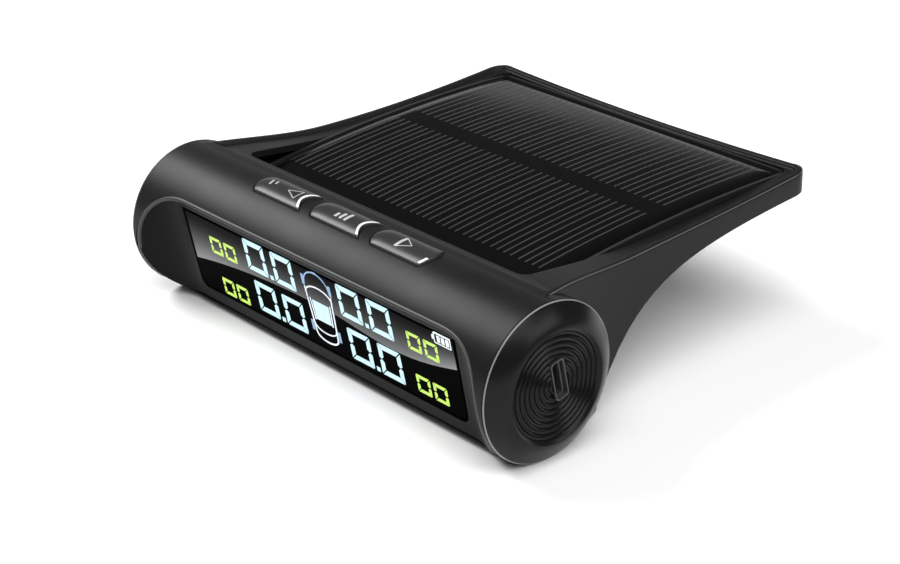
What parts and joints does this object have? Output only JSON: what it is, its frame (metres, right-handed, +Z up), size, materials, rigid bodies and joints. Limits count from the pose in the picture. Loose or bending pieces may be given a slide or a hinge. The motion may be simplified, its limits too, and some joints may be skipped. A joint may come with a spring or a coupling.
{
  "type": "tire pressure monitor",
  "caption": "Solar dashboard display for tire pressures: a round barrel with a tilted screen and sprung keys, and a wing behind it that holds a solar panel.",
  "frame": {"origin": "under the middle of the whole object, on the surface that it stands on", "axes": "+X along the barrel towards the charging socket, +Y from the display back to the wing's rear edge, +Z up"},
  "size_m": [0.095, 0.081, 0.0265],
  "materials": {
    "housing": "satin, fine grain",
    "bezel": "semi-gloss",
    "window": "polished dark lens",
    "lcd": "polished",
    "white_plastic": "moulded",
    "key": "gloss",
    "board": "solder mask",
    "chip": "moulded epoxy",
    "steel": "plated",
    "gold": "plated wire",
    "panel": "smoked, polished",
    "cell": "dark cell under resin",
    "tray": "matte",
    "pad_rubber": "matte",
    "foam": "open-cell foam",
    "battery_wrap": "foil pouch",
    "wire_red": "pvc",
    "wire_black": "pvc"
  },
  "bodies": {
    "root": {"upper_housing": "housing", "lower_housing": "housing", "front_bezel": "bezel", "end_cap_left": "housing", "end_cap_right": "housing", "display_window": "window", "lcd_glass": "lcd", "lcd_backlight": "white_plastic", "lcd_connector": "pad_rubber", "lcd_frame": "white_plastic", "main_board": "board", "microcontroller": "chip", "radio_shield": "steel", "crystal": "steel", "charge_controller": "chip", "battery_connector": "white_plastic", "light_sensor": "lcd", "buzzer": "chip", "antenna_coil": "gold", "usb_shell": "steel", "usb_tongue": "chip", "key_board": "board", "switch_left": "steel", "switch_middle": "steel", "switch_right": "steel", "solar_cover": "panel", "solar_cells_front": "cell", "solar_cells_rear": "cell", "solar_tray": "tray", "battery": "battery_wrap", "battery_foam": "foam", "battery_wire_red": "wire_red", "battery_wire_black": "wire_black", "anti_slip_pad": "pad_rubber", "housing_screw_left": "steel", "housing_screw_right": "steel", "board_screw_left": "steel", "board_screw_right": "steel"},
    "key_left_body": {"key_left": "key", "plunger_left": "chip"},
    "key_middle_body": {"key_middle": "key", "plunger_middle": "chip"},
    "key_right_body": {"key_right": "key", "plunger_right": "chip"}
  },
  "joints": [
    {"name": "key_left_press", "type": "slide", "parent": "root", "child": "key_left_body", "axis": [0, 0, -1], "range_m": [0, 0.0004], "stiffness_N_per_m": 2000, "springref_m": -0.0004},
    {"name": "key_middle_press", "type": "slide", "parent": "root", "child": "key_middle_body", "axis": [0, 0, -1], "range_m": [0, 0.0004], "stiffness_N_per_m": 2000, "springref_m": -0.0004},
    {"name": "key_right_press", "type": "slide", "parent": "root", "child": "key_right_body", "axis": [0, 0, -1], "range_m": [0, 0.0004], "stiffness_N_per_m": 2000, "springref_m": -0.0004}
  ]
}
